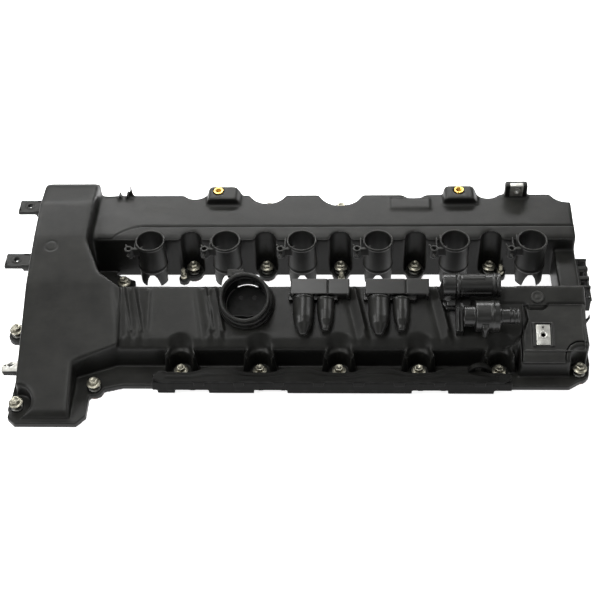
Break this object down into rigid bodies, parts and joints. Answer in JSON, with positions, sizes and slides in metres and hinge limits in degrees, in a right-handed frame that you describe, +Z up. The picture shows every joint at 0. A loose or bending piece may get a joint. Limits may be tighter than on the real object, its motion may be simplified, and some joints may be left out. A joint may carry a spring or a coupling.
{
  "type": "cylinder head cover",
  "caption": "Long black plastic cylinder head cover with coil tubes down a valley, oil filler neck, cyclone oil separators, vent valve and captive screws.",
  "frame": {"origin": "in the plane of the gasket face, under the middle of the whole cover", "axes": "+X along the engine from the timing end to the rear end, +Y towards the bank behind the coil tubes, +Z up out of the gasket face"},
  "size_m": [0.704, 0.337, 0.104],
  "materials": {
    "moulding": "satin, glass-fibre filled",
    "tube": "satin moulded",
    "filler": "satin moulded",
    "inner_plastic": "satin moulded",
    "separator": "semi-gloss moulded",
    "vent_plastic": "semi-gloss moulded",
    "valve_part": "satin",
    "rubber": "matte",
    "gasket": "matte",
    "spring_wire": "bright",
    "clip_steel": "zinc-flake coated, matt grey",
    "brass": "turned",
    "sleeve_steel": "plain",
    "screw_zinc": "zinc plated, slightly yellow",
    "duct_plastic": "satin moulded"
  },
  "bodies": {
    "cover": {"shell_timing_end": "moulding", "shell_back_bank": "moulding", "shell_front_bank": "moulding", "shell_rear_end": "moulding", "coil_tube_1": "tube", "coil_tube_2": "tube", "coil_tube_3": "tube", "coil_tube_4": "tube", "coil_tube_5": "tube", "coil_tube_6": "tube", "filler_neck": "filler", "filler_baffle": "inner_plastic", "separator_head_1": "separator", "separator_head_2": "separator", "separator_cones_1": "separator", "separator_cones_2": "separator", "separator_tray_front": "inner_plastic", "rear_separator_lid": "separator", "rear_baffle": "inner_plastic", "weld_disc": "separator", "vent_pipe": "vent_plastic", "vent_elbow": "vent_plastic", "vent_strap": "vent_plastic", "valve_housing": "vent_plastic", "valve_cap": "vent_plastic", "valve_diaphragm": "rubber", "valve_spring": "spring_wire", "vent_nozzle": "vent_plastic", "duct_end_clip": "duct_plastic", "wiring_duct": "duct_plastic", "duct_cover": "duct_plastic", "clip_nut_timing": "clip_steel", "clip_nut_back": "clip_steel", "clip_nut_rear": "clip_steel", "brass_insert_1": "brass", "brass_insert_2": "brass", "gasket_outer": "gasket", "screw_sleeves": "sleeve_steel", "screw_grommets": "rubber", "ground_studs": "screw_zinc", "harness_bracket_rear": "duct_plastic", "harness_ears_timing": "duct_plastic"},
    "near_screws": {"screws_near_row": "screw_zinc"},
    "valley_screws": {"screws_valley_row": "screw_zinc"},
    "back_screws": {"screws_back_row": "screw_zinc"},
    "timing_screws": {"screws_timing_end": "screw_zinc"},
    "valve_plate": {"valve_plate": "valve_part"},
    "check_disc": {"check_disc": "valve_part"}
  },
  "joints": [
    {"name": "near_row_press", "type": "slide", "parent": "cover", "child": "near_screws", "axis": [0, 0, 1], "range_m": [-0.006, 0]},
    {"name": "valley_row_press", "type": "slide", "parent": "cover", "child": "valley_screws", "axis": [0, 0, 1], "range_m": [-0.006, 0]},
    {"name": "back_row_press", "type": "slide", "parent": "cover", "child": "back_screws", "axis": [0, 0, 1], "range_m": [-0.006, 0]},
    {"name": "timing_end_press", "type": "slide", "parent": "cover", "child": "timing_screws", "axis": [0, 0, 1], "range_m": [-0.006, 0]},
    {"name": "pressure_valve_slide", "type": "slide", "parent": "cover", "child": "valve_plate", "axis": [1, 0, 0], "range_m": [0, 0.003], "stiffness_N_per_m": 150, "springref_m": -0.004, "deforming": ["valve_spring"]},
    {"name": "check_disc_slide", "type": "slide", "parent": "cover", "child": "check_disc", "axis": [1, 0, 0], "range_m": [0, 0.003]}
  ]
}
